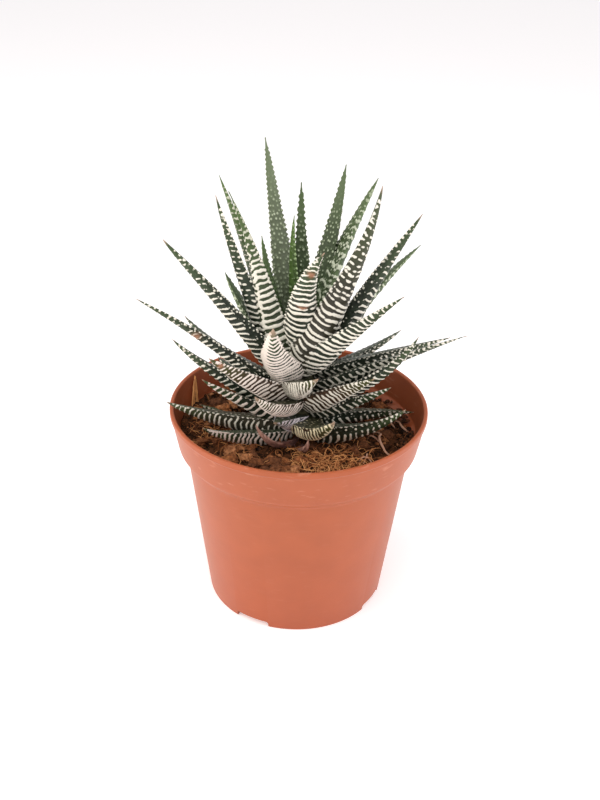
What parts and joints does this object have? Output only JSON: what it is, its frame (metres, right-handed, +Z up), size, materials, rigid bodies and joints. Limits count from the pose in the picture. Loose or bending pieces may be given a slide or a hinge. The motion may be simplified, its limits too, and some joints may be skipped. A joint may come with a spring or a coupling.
{
  "type": "potted haworthia",
  "caption": "Potted zebra haworthia: a rosette of pointed leaves with raised white bands on a short stem, in bark soil in a plain tapered plastic pot.",
  "frame": {"origin": "centre of the pot's foot, on the surface that the pot stands on", "axes": "+Z up, +X to the right and -Y towards the front, as the picture shows the plant"},
  "size_m": [0.1265, 0.105, 0.1856],
  "materials": {
    "pot_plastic": "moulded terracotta-coloured plastic, satin, with faint scuffs on the collar",
    "bark_soil": "rough bark chips, coir fibres and peat",
    "stem": "dull, wrapped in leaf bases",
    "leaf_green": "dark green skin, softly glossy, with raised white bands on the back and small white dots on the face",
    "leaf_pale": "crowded cream bands over grey green, with a brown dry tip",
    "leaf_young": "fresh green skin with few dots",
    "dry_leaf": "dry, papery and wrinkled"
  },
  "bodies": {
    "root": {"pot": "pot_plastic", "soil": "bark_soil", "stem": "stem", "leaf_heart_1": "leaf_young", "leaf_heart_2": "leaf_green", "leaf_heart_3": "leaf_green", "leaf_heart_4": "leaf_green", "leaf_heart_5": "leaf_green", "leaf_heart_6": "leaf_green", "leaf_heart_7": "leaf_green", "leaf_upper_1": "leaf_green", "leaf_upper_2": "leaf_green", "leaf_upper_3": "leaf_green", "leaf_upper_4": "leaf_green", "leaf_upper_5": "leaf_green", "leaf_upper_6": "leaf_green", "leaf_upper_7": "leaf_green", "leaf_upper_8": "leaf_green", "leaf_upper_9": "leaf_green", "leaf_upper_10": "leaf_green", "leaf_middle_1": "leaf_green", "leaf_middle_2": "leaf_green", "leaf_middle_3": "leaf_green", "leaf_middle_4": "leaf_pale", "leaf_middle_5": "leaf_green", "leaf_middle_6": "leaf_green", "leaf_middle_7": "leaf_green", "leaf_middle_8": "leaf_green", "leaf_middle_9": "leaf_green", "leaf_middle_10": "leaf_green", "leaf_middle_11": "leaf_green", "leaf_middle_12": "leaf_pale", "leaf_middle_13": "leaf_green", "leaf_middle_14": "leaf_green", "leaf_middle_15": "leaf_green", "leaf_lower_1": "leaf_green", "leaf_lower_2": "leaf_green", "leaf_lower_3": "leaf_green", "leaf_lower_4": "leaf_green", "leaf_lower_5": "leaf_green", "leaf_lower_6": "leaf_pale", "leaf_lower_7": "leaf_green", "leaf_lower_8": "leaf_green", "leaf_lower_9": "leaf_green", "leaf_lower_10": "leaf_green", "leaf_lower_11": "leaf_pale", "leaf_lower_12": "leaf_green", "leaf_lower_13": "leaf_pale", "leaf_lower_14": "leaf_green", "leaf_lower_15": "leaf_green", "leaf_lower_16": "leaf_green", "leaf_lower_17": "leaf_green", "leaf_lower_18": "leaf_green", "dry_leaf_front": "dry_leaf", "dry_leaf_front_left": "dry_leaf"}
  },
  "joints": []
}
